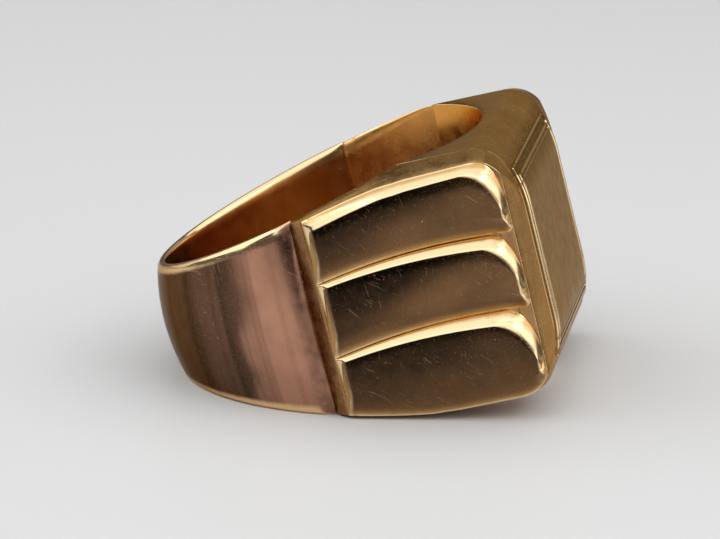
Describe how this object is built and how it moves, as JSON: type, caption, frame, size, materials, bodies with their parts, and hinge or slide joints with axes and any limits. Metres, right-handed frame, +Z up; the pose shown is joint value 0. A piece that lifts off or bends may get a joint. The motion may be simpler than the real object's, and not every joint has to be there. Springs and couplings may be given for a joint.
{
  "type": "signet ring",
  "caption": "Heavy gold finger ring with a crowned rectangular signet table, ribbed shoulders and a plain tapered shank.",
  "frame": {"origin": "middle of the underside of the box around the ring as it lies on the flat side of its tapered band", "axes": "+X from the back of the shank towards the signet head, +Z up from the surface that the ring lies on, +Y across the ring"},
  "size_m": [0.0228, 0.0214, 0.0142],
  "materials": {
    "shank": "satin rose gold with fine wear scratches",
    "shoulder": "satin yellow gold",
    "rib": "polished yellow gold with fine wear scratches",
    "collar": "polished yellow gold with nicked edges",
    "lining": "dull reddish gold",
    "plate": "polished pale gold with an engraved border line"
  },
  "bodies": {
    "root": {"shank": "shank", "shoulder_left": "shoulder", "shoulder_right": "shoulder", "rib_left_upper": "rib", "rib_left_middle": "rib", "rib_left_lower": "rib", "rib_right_upper": "rib", "rib_right_middle": "rib", "rib_right_lower": "rib", "head_collar": "collar", "head_lining": "lining", "signet_plate": "plate"}
  },
  "joints": []
}
